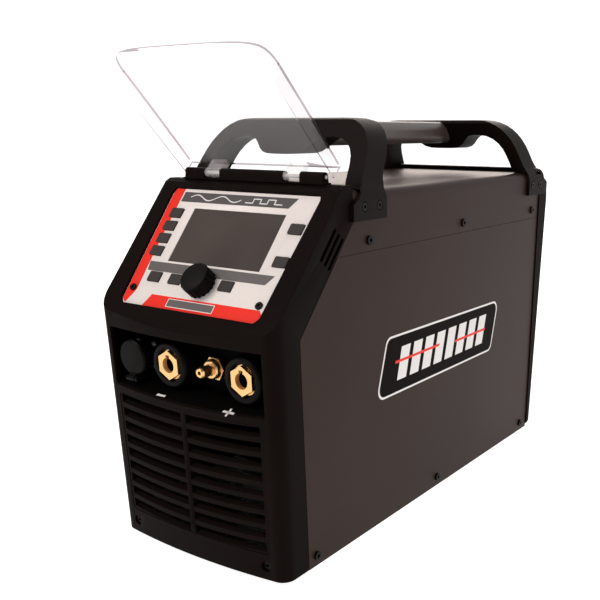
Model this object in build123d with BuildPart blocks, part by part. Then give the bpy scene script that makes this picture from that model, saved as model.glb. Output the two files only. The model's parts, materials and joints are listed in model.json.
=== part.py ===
from build123d import *
import os
from math import sin, cos, tan, radians, pi, sqrt

os.makedirs("parts", exist_ok=True)

# ---------------------------------------------------------------- dimensions
# All in mm.  Heights and depths below are counted from the foot of the front
# side seam; Y0 and Z0 carry them to the frame of the row (the middle of the
# machine's length, and the floor).
Y0 = -210.1            # front side seam to the middle of the length
Z0 = 4.0               # foot height under the sheet metal
HALF_W = 100.0         # half the width over the side sheets
SHEET = 1.5            # sheet steel
BODY_L = 436.6         # length of the side sheets
SEAM_Z = 260.7         # side sheet to top cover
TOP_Z = 311.0          # top of the cover
SLOPE = 41.4           # control face from the vertical
SLOPE_Z = 203.8        # height where the sloped seam starts
RIM_D = 28.5           # rim of the control face ahead of the sloped seam
PLATE_D = 26.5         # face of the control plate
RIM_V = 123.5          # length of the sloped face above the seam start
BEZEL_TOP = 315.3
FRONT_Y = -36.3        # most forward point of the front
BOW = 5.5              # how far the front is bowed
CORNER = 12.2          # plan radius of the front corners
WALL = 3.0             # moulding wall
SOCKET_Z = 171.0       # height of the row of sockets
NEG_X, POS_X, GAS_X, CTRL_X = -21.0, 62.0, 18.0, -66.0
DINSE_R = 20.0         # insulating collar
DINSE_BORE = 6.55      # plug bore
BRASS_R = 12.8
HEX_R = 12.75           # hexagon round the plug bore, across corners / 2
CAP_R = 15.8
KNOB_X, KNOB_V, KNOB_R = 4.0, 22.0, 13.6
KNOB_TOP = 39.2
KEY_W, KEY_H = 14.0, 9.5
HINGE_Y, HINGE_Z = 66.0, 321.0
COVER_LEAN = 43.5      # open cover, forward of the vertical
COVER_L = 119.0         # cover length beyond the hinge line
COVER_T = 2.0
ARCH_TOP = 366.5
FAN_Z = 125.0
S, C = sin(radians(SLOPE)), cos(radians(SLOPE))


def level(z):          # u = x, v = y, grows upward
    return Plane(origin=(0, Y0, Z0 + z), x_dir=(1, 0, 0), z_dir=(0, 0, 1))


def side(x):           # u = y, v = z, grows to +X
    return Plane(origin=(x, Y0, Z0), x_dir=(0, 1, 0), z_dir=(1, 0, 0))


def front(y):          # u = x, v = z, grows forward
    return Plane(origin=(0, Y0 + y, Z0), x_dir=(1, 0, 0), z_dir=(0, -1, 0))


def slope(d, x=0.0, v=0.0):   # u = x, v = up the slope, grows outward
    return Plane(origin=(x, Y0 + v * S - d * C, Z0 + SLOPE_Z + v * C + d * S),
                 x_dir=(1, 0, 0), z_dir=(0, -C, S))


def slope_yz(v, d):
    return (v * S - d * C, SLOPE_Z + v * C + d * S)


def bow_y(x, off=0.0):
    a = HALF_W - CORNER
    return FRONT_Y + BOW * (x / a) ** 2 + off


def plan(off):
    """front outline in plan, moved inward by off, closed at y = 90"""
    a = HALF_W - CORNER
    r = CORNER - off
    yc = FRONT_Y + BOW + CORNER
    w = HALF_W - off
    k = sqrt(0.5)
    with BuildLine() as ln:
        ThreePointArc((-a, yc - r), (0, FRONT_Y + off), (a, yc - r))
        ThreePointArc((a, yc - r), (a + r * k, yc - r * k), (w, yc))
        Polyline((w, yc), (w, 90), (-w, 90), (-w, yc))
        ThreePointArc((-w, yc), (-a - r * k, yc - r * k), (-a, yc - r))
    return ln


PANEL = [(-79, -1), (-75, -5.4), (75, -5.4), (79, -1), (84, 109), (82, 114), (-82, 114), (-84, 109)]


def grow(points, g):
    sx = (84 + g) / 84
    out = []
    for (u, v) in points:
        out.append((u * sx, 54.3 + (v - 54.3) * (59.7 + g) / 59.7))
    return out


LEFT_KEYS = [(-67.0, 88.0), (-67.0, 74.6), (-67.0, 61.6), (-67.0, 48.6)]
RIGHT_KEYS = [(72.5, 81.6), (72.5, 50.7)]
LOW_KEYS = [(-53.5, 23.4), (-28.5, 23.4), (29.5, 23.4)]
KEYS = LEFT_KEYS + RIGHT_KEYS + LOW_KEYS
HANDLE_SCREWS = [(84.0, 298.0), (105.5, 298.0), (410.5, 298.0), (430.5, 298.0)]
BODY_SCREWS = [(11.0, 9.8), (215.0, 9.8), (419.0, 9.8), (94.6, 270.0), (257.0, 270.0), (419.0, 270.0)]
LCD = (-48.5, 55.5, 40.0, 94.5)          # x0, x1, v0, v1 of the display window

# ---------------------------------------------------------------- sheet metal
with BuildPart() as base_chassis:
    with BuildSketch(level(0.5)):
        with Locations((0, 215.5)):
            Rectangle(196.4, 425)
    extrude(amount=1.5)
    for x in (-98.2, 96.7):
        with BuildSketch(side(x)):
            with Locations((215.5, 11.5)):
                Rectangle(425, 22)
        extrude(amount=1.5)
    for x in (-98.2, 96.7):
        with BuildSketch(side(x)):
            with Locations(*BODY_SCREWS[:3]):
                Circle(2.2)
        extrude(amount=1.5, mode=Mode.SUBTRACT)
base_chassis.part.label = "base_chassis"
export_step(base_chassis.part, "parts/base_chassis.step")

SIDE_OUT = [(0.4, 0), (BODY_L - 0.2, 0), (BODY_L - 0.2, SEAM_Z - 0.2), (50.9, SEAM_Z - 0.2), (0.4, SLOPE_Z - 0.6)]

with BuildPart() as side_panel_right:
    with BuildSketch(side(HALF_W - SHEET)):
        Polygon(*SIDE_OUT, align=None)
    extrude(amount=SHEET)
    with BuildSketch(side(96.8)):
        with Locations((250, 255.4)):
            Rectangle(356, 10)
    extrude(amount=1.7)
    with BuildSketch(side(96.8)):
        with Locations((250, 266)):
            Rectangle(356, 30)
    extrude(amount=1.5)
    with BuildSketch(side(95)):
        with Locations(*BODY_SCREWS):
            Circle(2.2)
    extrude(amount=6, mode=Mode.SUBTRACT)
side_panel_right.part.label = "side_panel_right"
export_step(side_panel_right.part, "parts/side_panel_right.step")

with BuildPart() as side_panel_left:
    with BuildSketch(side(-HALF_W)):
        Polygon(*SIDE_OUT, align=None)
    extrude(amount=SHEET)
    with BuildSketch(side(-98.5)):
        with Locations((250, 255.4)):
            Rectangle(356, 10)
    extrude(amount=1.7)
    with BuildSketch(side(-98.3)):
        with Locations((250, 266)):
            Rectangle(356, 30)
    extrude(amount=1.5)
    with BuildSketch(side(-101)):
        with Locations(*BODY_SCREWS):
            Circle(2.2)
    extrude(amount=6, mode=Mode.SUBTRACT)
side_panel_left.part.label = "side_panel_left"
export_step(side_panel_left.part, "parts/side_panel_left.step")

with BuildPart() as top_cover:
    with BuildSketch(front(BODY_L - 0.2)):
        with BuildLine():
            Polyline((-HALF_W, SEAM_Z + 0.1), (-HALF_W, TOP_Z - 8))
            ThreePointArc((-HALF_W, TOP_Z - 8), (-HALF_W + 8 * (1 - sqrt(0.5)), TOP_Z - 8 * (1 - sqrt(0.5))), (-HALF_W + 8, TOP_Z))
            Polyline((-HALF_W + 8, TOP_Z), (HALF_W - 8, TOP_Z))
            ThreePointArc((HALF_W - 8, TOP_Z), (HALF_W - 8 * (1 - sqrt(0.5)), TOP_Z - 8 * (1 - sqrt(0.5))), (HALF_W, TOP_Z - 8))
            Polyline((HALF_W, TOP_Z - 8), (HALF_W, SEAM_Z + 0.1), (98.5, SEAM_Z + 0.1), (98.5, TOP_Z - 8))
            ThreePointArc((98.5, TOP_Z - 8), (HALF_W - 8 + 6.5 * sqrt(0.5), TOP_Z - 8 + 6.5 * sqrt(0.5)), (HALF_W - 8, TOP_Z - 1.5))
            Polyline((HALF_W - 8, TOP_Z - 1.5), (-HALF_W + 8, TOP_Z - 1.5))
            ThreePointArc((-HALF_W + 8, TOP_Z - 1.5), (-HALF_W + 8 - 6.5 * sqrt(0.5), TOP_Z - 8 + 6.5 * sqrt(0.5)), (-98.5, TOP_Z - 8))
            Polyline((-98.5, TOP_Z - 8), (-98.5, SEAM_Z + 0.1), (-HALF_W, SEAM_Z + 0.1))
        make_face()
    extrude(amount=BODY_L - 40)
    with BuildSketch(side(-110)):
        Polygon((30, 250), (50.4, SEAM_Z), (73.4, 286.8), (73.4, 330), (30, 330), align=None)
        with Locations(*BODY_SCREWS[3:]):
            Circle(2.2)
        with Locations(*HANDLE_SCREWS):
            Circle(2.2)
    extrude(amount=220, mode=Mode.SUBTRACT)
top_cover.part.label = "top_cover"
export_step(top_cover.part, "parts/top_cover.step")

# ---------------------------------------------------------------- front moulding
N_OUT = slope_yz((FRONT_Y + RIM_D * C) / S, RIM_D)      # nose of the brow
T_OUT = slope_yz(RIM_V, RIM_D)
with BuildPart() as front_bezel:
    with BuildSketch(level(0)):
        with BuildLine():
            add(plan(0).line)
        make_face()
    extrude(amount=330)
    with BuildSketch(side(-120)):
        Polygon((-60, 0), (0, 0), (0, SLOPE_Z - 0.2), (73, 286.4), (73, BEZEL_TOP), (T_OUT[0] + 3, BEZEL_TOP),
                (T_OUT[0] - 2.4, T_OUT[1] - 2.7), (N_OUT[0] + 3.2, N_OUT[1] + 3.6), (N_OUT[0], N_OUT[1] - 1.2), (-60, N_OUT[1] - 1.2), align=None)
    extrude(amount=240, mode=Mode.INTERSECT)
    # hollow
    with BuildPart(mode=Mode.PRIVATE) as hollow:
        with BuildSketch(level(0)):
            with BuildLine():
                add(plan(WALL).line)
            make_face()
        extrude(amount=330)
        ni = slope_yz((FRONT_Y + WALL + 22.3 * C) / S, 22.3)
        ti = slope_yz(0, 22.3)
        with BuildSketch(side(-120)):
            Polygon((-60, WALL), (95, WALL), (95, 312), (65, 312), slope_yz(118, 22.3), (ni[0], ni[1]), (-60, ni[1]), align=None)
        extrude(amount=240, mode=Mode.INTERSECT)
    add(hollow.part, mode=Mode.SUBTRACT)
    # seat of the control plate, and the window behind it
    with BuildSketch(slope(24.3)):
        Polygon(*PANEL, align=None)
    extrude(amount=20, mode=Mode.SUBTRACT)
    with BuildSketch(slope(15)):
        with Locations((0, 75)):
            Rectangle(161.6, 63)
        with Locations((0, 29)):
            Rectangle(150, 34)
    extrude(amount=15, mode=Mode.SUBTRACT)
    # socket recess
    with BuildSketch(side(-87)):
        Polygon((-60, 197), (-12, 197), (-12, 150.4), (-22, 149.6), (-38, 141), (-60, 128), align=None)
    extrude(amount=174, mode=Mode.SUBTRACT)
    # grille window
    with BuildSketch(front(0)):
        with Locations((0, 81)):
            RectangleRounded(168, 114, 4)
    extrude(amount=60, mode=Mode.SUBTRACT)
    # floor of the moulding
    with BuildSketch(level(0)):
        with BuildLine():
            add(plan(1.0).line)
        make_face()
        with Locations((0, 99.5)):
            Rectangle(260, 200, mode=Mode.SUBTRACT)
    extrude(amount=2.2)
    # bosses and counterbores of the two front screws
    for x in (-79.5, 79.5):
        with BuildSketch(front(-18)):
            with Locations((x, 12.5)):
                Circle(6.5)
        extrude(amount=12.5)
        with BuildSketch(front(-27)):
            with Locations((x, 12.5)):
                Circle(4.6)
        extrude(amount=20, mode=Mode.SUBTRACT)
        with BuildSketch(front(-10)):
            with Locations((x, 12.5)):
                Circle(2.2)
        extrude(amount=30, mode=Mode.SUBTRACT)
    # slanting vents beside the control face
    for k in range(3):
        for x in (-110, 90):
            with BuildSketch(side(x)):
                a0 = slope_yz(62 + 0 * k, 17 - 6.2 * k)
                a1 = slope_yz(92 + 0 * k, 17 - 6.2 * k)
                b1 = slope_yz(92 + 0 * k, 14.2 - 6.2 * k)
                b0 = slope_yz(62 + 0 * k, 14.2 - 6.2 * k)
                Polygon(a0, a1, b1, b0, align=None)
            extrude(amount=20, mode=Mode.SUBTRACT)
front_bezel.part.label = "front_bezel"
export_step(front_bezel.part, "parts/front_bezel.step")

with BuildPart() as front_grille:
    with BuildSketch(level(0)):
        with BuildLine():
            add(plan(0.5).line)
        make_face()
        with BuildLine(mode=Mode.PRIVATE) as inner_line:
            add(plan(5.0).line)
        add(make_face(inner_line.line, mode=Mode.PRIVATE), mode=Mode.SUBTRACT)
    extrude(amount=150)
    with BuildSketch(front(0)):
        with Locations((0, 81)):
            RectangleRounded(167.6, 113.6, 3.8)
    extrude(amount=60, mode=Mode.INTERSECT)
    for k in range(9):
        zc = 30.0 + 12.75 * k
        for (x0, x1) in ((-81.4, -2.9), (2.9, 81.4)):
            with BuildSketch(side(x0)):
                Polygon((-60, zc - 17.9), (-60, zc - 9.7), (-20, zc + 10.7), (-20, zc + 2.5), align=None)
            extrude(amount=x1 - x0, mode=Mode.SUBTRACT)
front_grille.part.label = "front_grille"
export_step(front_grille.part, "parts/front_grille.step")

# ---------------------------------------------------------------- sockets
with BuildPart() as connector_panel:
    with BuildSketch(side(-90)):
        Polygon((-50, 199.4), (-5, 199.4), (-5, 147.0), (-21, 146.0), (-34, 138.9), (-50, 130), align=None)
    extrude(amount=180)
    with BuildSketch(side(-87)):
        Polygon((-60, 197), (-8, 197), (-8, 150.4), (-22, 149.6), (-38, 141), (-60, 128), align=None)
    extrude(amount=174, mode=Mode.SUBTRACT)
    with BuildPart(mode=Mode.PRIVATE) as room:
        with BuildSketch(level(120)):
            with BuildLine():
                add(plan(WALL + 0.2).line)
            make_face()
        extrude(amount=90)
    add(room.part, mode=Mode.INTERSECT)
    with BuildSketch(front(0)):
        with Locations((NEG_X, SOCKET_Z), (POS_X, SOCKET_Z)):
            Circle(14.2)
        with Locations((GAS_X, SOCKET_Z)):
            Circle(5.3)
        with Locations((CTRL_X, SOCKET_Z)):
            Circle(9.7)
    extrude(amount=12, mode=Mode.SUBTRACT)
connector_panel.part.label = "connector_panel"
export_step(connector_panel.part, "parts/connector_panel.step")


def ring_profile(pts):
    """closed half profile (radius, distance ahead of the seam) on a plane through a socket axis"""
    return Polygon(*[(r, -y) for (r, y) in pts], align=None)


def axis_plane(x, z):
    # u = radius (+X), v = forward (-Y)
    return Plane(origin=(x, Y0, Z0 + z), x_dir=(1, 0, 0), z_dir=(0, 0, -1))


with BuildPart() as dinse_neg_insulator:
    with BuildSketch(axis_plane(NEG_X, SOCKET_Z)):
        ring_profile([(13, 6), (14, 6), (14, -8.05), (DINSE_R, -8.05), (DINSE_R, -24.2), (19.4, -26.2), (18, -27.4), (14.4, -27.4), (13.4, -26.2), (13, -25.4)])
    revolve(axis=Axis((NEG_X, Y0, Z0 + SOCKET_Z), (0, 1, 0)))
dinse_neg_insulator.part.label = "dinse_neg_insulator"
export_step(dinse_neg_insulator.part, "parts/dinse_neg_insulator.step")

with BuildPart() as dinse_pos_insulator:
    with BuildSketch(axis_plane(POS_X, SOCKET_Z)):
        ring_profile([(13, 6), (14, 6), (14, -8.05), (DINSE_R, -8.05), (DINSE_R, -24.2), (19.4, -26.2), (18, -27.4), (14.4, -27.4), (13.4, -26.2), (13, -25.4)])
    revolve(axis=Axis((POS_X, Y0, Z0 + SOCKET_Z), (0, 1, 0)))
dinse_pos_insulator.part.label = "dinse_pos_insulator"
export_step(dinse_pos_insulator.part, "parts/dinse_pos_insulator.step")

with BuildPart() as dinse_neg_contact:
    with BuildSketch(axis_plane(NEG_X, SOCKET_Z)):
        ring_profile([(0, 16), (BRASS_R, 16), (BRASS_R, -23.5), (0, -23.5)])
    revolve(axis=Axis((NEG_X, Y0, Z0 + SOCKET_Z), (0, 1, 0)))
    with BuildSketch(front(-23.45)):
        with Locations((NEG_X, SOCKET_Z)):
            RegularPolygon(HEX_R, 6, rotation=30)
    extrude(amount=4.55)
    with BuildSketch(front(2)):
        with Locations((NEG_X, SOCKET_Z)):
            Circle(DINSE_BORE)
        with Locations((NEG_X, SOCKET_Z + 6.6)):
            Rectangle(4, 4.4)
    extrude(amount=40, mode=Mode.SUBTRACT)
dinse_neg_contact.part.label = "dinse_neg_contact"
export_step(dinse_neg_contact.part, "parts/dinse_neg_contact.step")

with BuildPart() as dinse_pos_contact:
    with BuildSketch(axis_plane(POS_X, SOCKET_Z)):
        ring_profile([(0, 16), (BRASS_R, 16), (BRASS_R, -23.5), (0, -23.5)])
    revolve(axis=Axis((POS_X, Y0, Z0 + SOCKET_Z), (0, 1, 0)))
    with BuildSketch(front(-23.45)):
        with Locations((POS_X, SOCKET_Z)):
            RegularPolygon(HEX_R, 6, rotation=30)
    extrude(amount=4.55)
    with BuildSketch(front(2)):
        with Locations((POS_X, SOCKET_Z)):
            Circle(DINSE_BORE)
        with Locations((POS_X, SOCKET_Z + 6.6)):
            Rectangle(4, 4.4)
    extrude(amount=40, mode=Mode.SUBTRACT)
dinse_pos_contact.part.label = "dinse_pos_contact"
export_step(dinse_pos_contact.part, "parts/dinse_pos_contact.step")

with BuildPart() as gas_outlet:
    with BuildSketch(axis_plane(GAS_X, SOCKET_Z)):
        ring_profile([(1.6, 8), (5, 8), (5, -13.5), (8.4, -13.5), (8.4, -17.2), (7.2, -18.6), (4.8, -18.6), (4.8, -28.6),
                      (3.6, -30.4), (1.6, -30.4)])
    revolve(axis=Axis((GAS_X, Y0, Z0 + SOCKET_Z), (0, 1, 0)))
    with BuildSketch(front(-8.05)):
        with Locations((GAS_X, SOCKET_Z)):
            RegularPolygon(10.8, 6)
            Circle(4.9, mode=Mode.SUBTRACT)
    extrude(amount=5.5)
gas_outlet.part.label = "gas_outlet"
export_step(gas_outlet.part, "parts/gas_outlet.step")

CAP_PIN_Y, CAP_PIN_Z = -29.5, 153.3
with BuildPart() as control_socket:
    with BuildSketch(front(-8.05)):
        with Locations((CTRL_X, SOCKET_Z)):
            RectangleRounded(26, 26, 3)
            with GridLocations(20, 20, 2, 2):
                Circle(1.7, mode=Mode.SUBTRACT)
    extrude(amount=2.5)
    with BuildSketch(front(6)):
        with Locations((CTRL_X, SOCKET_Z)):
            Circle(9.5)
    extrude(amount=14.05)
    with BuildSketch(front(-10.55)):
        with Locations((CTRL_X, SOCKET_Z)):
            Circle(10.5)
    extrude(amount=11.45)
    with BuildSketch(front(-8)):
        with Locations((CTRL_X, SOCKET_Z)):
            Circle(8.0)
    extrude(amount=20, mode=Mode.SUBTRACT)
    with BuildSketch(front(-8)):
        with Locations((CTRL_X, SOCKET_Z)):
            with PolarLocations(4.6, 5):
                Circle(0.9)
    extrude(amount=9)
    for x in (CTRL_X - 6.5, CTRL_X + 4.0):
        with BuildSketch(side(x)):
            Polygon((-8.05, 158.1), (-24, CAP_PIN_Z + 1.9), (CAP_PIN_Y - 1.2, CAP_PIN_Z + 1.9), (CAP_PIN_Y - 2.4, CAP_PIN_Z),
                    (CAP_PIN_Y - 1.2, CAP_PIN_Z - 2.4), (-24, CAP_PIN_Z - 1.9), (-9, 153.8), (-8.05, 155), align=None)
        extrude(amount=2.5)
    with BuildSketch(side(CTRL_X - 6.5)):
        with Locations((CAP_PIN_Y, CAP_PIN_Z)):
            Circle(1.2)
    extrude(amount=13)
control_socket.part.label = "control_socket"
export_step(control_socket.part, "parts/control_socket.step")

with BuildPart() as control_socket_cap:
    with BuildSketch(axis_plane(CTRL_X, SOCKET_Z)):
        ring_profile([(0, -23.6), (11.0, -23.6), (11.0, -22.35), (CAP_R, -22.35), (CAP_R, -27.2), (CAP_R - 1.3, -28.4), (0, -28.4)])
    revolve(axis=Axis((CTRL_X, Y0, Z0 + SOCKET_Z), (0, 1, 0)))
    with BuildSketch(side(CTRL_X - 3.7)):
        with Locations((CAP_PIN_Y, CAP_PIN_Z)):
            Circle(2.6)
        Polygon((CAP_PIN_Y - 2.6, CAP_PIN_Z), (CAP_PIN_Y + 2.6, CAP_PIN_Z), (-24.5, SOCKET_Z - CAP_R + 1.5), (-28.2, SOCKET_Z - CAP_R + 3.2), align=None)
        with Locations((CAP_PIN_Y, CAP_PIN_Z)):
            Circle(1.27, mode=Mode.SUBTRACT)
    extrude(amount=7.4)
control_socket_cap.part.label = "control_socket_cap"
export_step(control_socket_cap.part, "parts/control_socket_cap.step")

with BuildPart() as control_socket_screws:
    with BuildSketch(front(-10.55)):
        with Locations((CTRL_X, SOCKET_Z)):
            with GridLocations(20, 20, 2, 2):
                Circle(2.4)
                Circle(0.9, mode=Mode.SUBTRACT)
    extrude(amount=1.4)
    with BuildSketch(front(-8.1)):
        with Locations((CTRL_X, SOCKET_Z)):
            with GridLocations(20, 20, 2, 2):
                Circle(1.5)
    extrude(amount=2.6)
control_socket_screws.part.label = "control_socket_screws"
export_step(control_socket_screws.part, "parts/control_socket_screws.step")

# ---------------------------------------------------------------- control face
with BuildPart() as control_plate:
    with BuildSketch(slope(24.4)):
        Polygon(*grow(PANEL, -0.15), align=None)
        with Locations(((LCD[0] + LCD[1]) / 2, (LCD[2] + LCD[3]) / 2)):
            Rectangle(LCD[1] - LCD[0], LCD[3] - LCD[2], mode=Mode.SUBTRACT)
        with Locations(*KEYS):
            Rectangle(KEY_W + 0.6, KEY_H + 0.6, mode=Mode.SUBTRACT)
        with Locations((KNOB_X, KNOB_V)):
            Circle(4.6, mode=Mode.SUBTRACT)
        with Locations((-72, 10.5), (72, 10.5)):
            Circle(1.9, mode=Mode.SUBTRACT)
    extrude(amount=PLATE_D - 24.4)
control_plate.part.label = "control_plate"
export_step(control_plate.part, "parts/control_plate.step")

with BuildPart() as lcd_lens:
    with BuildSketch(slope(24.9)):
        with Locations(((LCD[0] + LCD[1]) / 2, (LCD[2] + LCD[3]) / 2)):
            Rectangle(LCD[1] - LCD[0] - 0.2, LCD[3] - LCD[2] - 0.2)
    extrude(amount=1.4)
lcd_lens.part.label = "lcd_lens"
export_step(lcd_lens.part, "parts/lcd_lens.step")

with BuildPart() as lcd_module:
    with BuildSketch(slope(16.5)):
        with Locations(((LCD[0] + LCD[1]) / 2, (LCD[2] + LCD[3]) / 2)):
            Rectangle(111.5, 61.5)
    extrude(amount=7.7)
    with BuildSketch(slope(24.2)):
        with Locations(((LCD[0] + LCD[1]) / 2, (LCD[2] + LCD[3]) / 2)):
            Rectangle(102, 52.5)
    extrude(amount=0.5)
lcd_module.part.label = "lcd_module"
export_step(lcd_module.part, "parts/lcd_module.step")

for i, (kx, kv) in enumerate(KEYS):
    with BuildPart() as key:
        with BuildSketch(slope(23.0, kx, kv)):
            RectangleRounded(KEY_W, KEY_H, 1.2)
        extrude(amount=4.6)
        with BuildSketch(slope(22.9, kx, kv)):
            Rectangle(KEY_W + 1.4, KEY_H + 1.4)
        extrude(amount=1.1)
        with BuildSketch(slope(17.6, kx, kv)):
            Circle(2.0)
        extrude(amount=6)
    key.part.label = "key_%d" % (i + 1)
    export_step(key.part, "parts/key_%d.step" % (i + 1))

with BuildPart() as control_knob:
    with BuildSketch(slope(27.4, KNOB_X, KNOB_V)):
        Circle(KNOB_R)
    extrude(amount=KNOB_TOP - 27.4)
    top_edges = control_knob.edges().filter_by(GeomType.CIRCLE).sort_by(Axis((0, 0, 0), (0, -C, S)))[-1:]
    chamfer(top_edges, 1.4)
    with BuildSketch(slope(27.3, KNOB_X, KNOB_V)):
        with PolarLocations(KNOB_R + 0.9, 18):
            Circle(1.75)
    extrude(amount=14, mode=Mode.SUBTRACT)
    with BuildSketch(slope(27.3, KNOB_X, KNOB_V)):
        Circle(7.0)
    extrude(amount=4.4, mode=Mode.SUBTRACT)
    with BuildSketch(slope(31.0, KNOB_X, KNOB_V)):
        Circle(3.02)
    extrude(amount=6, mode=Mode.SUBTRACT)
control_knob.part.label = "control_knob"
export_step(control_knob.part, "parts/control_knob.step")

with BuildPart() as encoder_shaft:
    with BuildSketch(slope(18.0, KNOB_X, KNOB_V)):
        Circle(3.0)
    extrude(amount=18.6)
encoder_shaft.part.label = "encoder_shaft"
export_step(encoder_shaft.part, "parts/encoder_shaft.step")

with BuildPart() as encoder_plunger:
    with BuildSketch(slope(15.9, KNOB_X, KNOB_V)):
        Circle(4.2)
    extrude(amount=1.7)
encoder_plunger.part.label = "encoder_plunger"
export_step(encoder_plunger.part, "parts/encoder_plunger.step")

with BuildPart() as encoder_body:
    with BuildSketch(slope(13.0, KNOB_X, KNOB_V)):
        RectangleRounded(14.5, 14.5, 1)
    extrude(amount=10.9)
    with BuildSketch(slope(23.9, KNOB_X, KNOB_V)):
        Circle(4.4)
    extrude(amount=6)
    with BuildSketch(slope(15.0, KNOB_X, KNOB_V)):
        Circle(4.8)
    extrude(amount=4.4, mode=Mode.SUBTRACT)
    with BuildSketch(slope(19.0, KNOB_X, KNOB_V)):
        Circle(3.08)
    extrude(amount=12, mode=Mode.SUBTRACT)
encoder_body.part.label = "encoder_body"
export_step(encoder_body.part, "parts/encoder_body.step")

with BuildPart() as control_board:
    with BuildSketch(slope(10.0)):
        with Locations((0, 57)):
            Rectangle(160, 96)
    extrude(amount=1.6)
    with BuildSketch(slope(11.6)):
        with Locations(*KEYS):
            Rectangle(6, 6)
        with Locations((KNOB_X, KNOB_V)):
            Rectangle(10, 10)
    extrude(amount=1.35)
    with BuildSketch(slope(11.6)):
        with Locations((-44, 46), (50, 46), (-44, 90), (50, 90)):
            Circle(3)
    extrude(amount=4.85)
control_board.part.label = "control_board"
export_step(control_board.part, "parts/control_board.step")

with BuildPart() as panel_screws:
    with BuildSketch(slope(PLATE_D)):
        with Locations((-72, 10.5), (72, 10.5)):
            Circle(3.3)
            RegularPolygon(1.4, 6, mode=Mode.SUBTRACT)
    extrude(amount=1.7)
    with BuildSketch(slope(24.5)):
        with Locations((-72, 10.5), (72, 10.5)):
            Circle(1.6)
    extrude(amount=2.1)
panel_screws.part.label = "panel_screws"
export_step(panel_screws.part, "parts/panel_screws.step")

# ---------------------------------------------------------------- clear cover
LE = radians(COVER_LEAN)
CLIPS = [(-53.5, -36.5), (36.5, 53.5)]
FIXED = [(-78, -54), (-36, 36), (54, 78)]


def cov(e1, e2):
    """point of the cover: e1 along it from the hinge, e2 away from the control face"""
    return (HINGE_Y - sin(LE) * e1 + cos(LE) * e2, HINGE_Z + cos(LE) * e1 + sin(LE) * e2)


with BuildPart() as clear_cover:
    bow = [(-2.5, 14.3), (28, 14.9), (60, 15.2), (90, 15.2), (106, 15.0), (112.6, 14.7), (117, 13.9), (COVER_L, 12.6)]
    inn = [(COVER_L - 0.6, 11.5), (115.6, 12.2), (112, 12.8), (105.6, 13.0), (90, 13.2), (60, 13.2), (28, 12.9), (-2.5, 12.3)]
    with BuildSketch(side(-85)):
        Polygon(*[cov(a, b) for (a, b) in bow + inn], align=None)
    extrude(amount=170)
    for x in (-85, 83):
        with BuildSketch(side(x)):
            Polygon(cov(-2.5, 1.6), cov(97, 1.6), cov(104, 3.2), cov(108.5, 6.6), cov(110.5, 12.9), cov(106, 15.0), cov(90, 15.2), cov(60, 15.2), cov(28, 14.9), cov(-2.5, 14.3), align=None)
        extrude(amount=2)
    # the cover narrows a little toward its free end
    pl = Plane(origin=(0, Y0 + HINGE_Y, Z0 + HINGE_Z), x_dir=(1, 0, 0), z_dir=(0, cos(LE), sin(LE)))
    half = [(85.05, -5), (82.9, 96), (82.4, 101), (81.2, 105.6), (79, 109.6), (75.4, 112.6), (70, 114.8), (60, 116.6), (44, 117.9), (24, 118.7)]
    with BuildSketch(pl.offset(-5)):
        Polygon(*[(a, -b) for (a, b) in half], *[(-a, -b) for (a, b) in reversed(half)], align=None)
    extrude(amount=30, mode=Mode.INTERSECT)
    for (x0, x1) in CLIPS:
        with BuildSketch(side(x0)):
            with Locations((HINGE_Y, HINGE_Z)):
                Circle(3.9)
            Polygon(cov(-2.4, 0), cov(3.2, 0), cov(3.2, 12.8), cov(-2.4, 12.6), align=None)
            with Locations((HINGE_Y, HINGE_Z)):
                Circle(1.58, mode=Mode.SUBTRACT)
        extrude(amount=x1 - x0)
clear_cover.part.label = "clear_cover"
export_step(clear_cover.part, "parts/clear_cover.step")

with BuildPart() as cover_hinge_bracket:
    with BuildSketch(level(BEZEL_TOP + 0.05)):
        with Locations((0, HINGE_Y)):
            Rectangle(160, 9.4)
    extrude(amount=1.2)
    for (x0, x1) in FIXED:
        with BuildSketch(side(x0)):
            with Locations((HINGE_Y, HINGE_Z)):
                Circle(3.9)
            Polygon((HINGE_Y - 4.4, BEZEL_TOP + 1.1), (HINGE_Y + 4.4, BEZEL_TOP + 1.1), (HINGE_Y + 3.6, HINGE_Z), (HINGE_Y - 3.6, HINGE_Z), align=None)
            with Locations((HINGE_Y, HINGE_Z)):
                Circle(1.52, mode=Mode.SUBTRACT)
        extrude(amount=x1 - x0)
cover_hinge_bracket.part.label = "cover_hinge_bracket"
export_step(cover_hinge_bracket.part, "parts/cover_hinge_bracket.step")

with BuildPart() as cover_hinge_pin:
    with BuildSketch(side(-79)):
        with Locations((HINGE_Y, HINGE_Z)):
            Circle(1.5)
    extrude(amount=158)
cover_hinge_pin.part.label = "cover_hinge_pin"
export_step(cover_hinge_pin.part, "parts/cover_hinge_pin.step")

# ---------------------------------------------------------------- handle
MID = 259.0            # middle between the two arches
HALF_OUT = [(104, 287), (104, 303), (102.4, 308), (99.4, 314), (96.8, 319), (95.2, 325), (93.8, 332), (91.9, 339.5), (89.0, 346.4), (85.2, 352.2), (80.4, 357.2),
            (74.6, 361.2), (68, 364.2), (60.5, 366), (52, ARCH_TOP)]
HALF_IN = [(84, 280), (84, 311), (81.6, 316.5), (80.0, 323), (78.6, 330), (76.4, 336.6), (72.6, 342.4), (67.4, 346.8), (60.6, 349.8), (53, 351), (43, 351),
           (37.5, 349.6), (32.6, 346.2), (27.6, 341.6), (22.6, 338.4), (16, 336.8), (8, 336.5)]
ARCH_OUT = [(-a, b) for (a, b) in HALF_OUT] + list(reversed(HALF_OUT))
ARCH_IN = [(-a, b) for (a, b) in HALF_IN] + list(reversed(HALF_IN))
ARCH_SIDE = [(68.5, 287), (116, 287), (116, 311), (122.5, 323), (150.6, 363.2), (148.5, 366), (146.5, ARCH_TOP), (127.5, ARCH_TOP), (123.5, 365.2),
             (120.8, 362.2), (93, 323), (80, 307), (68.5, 300)]
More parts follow.
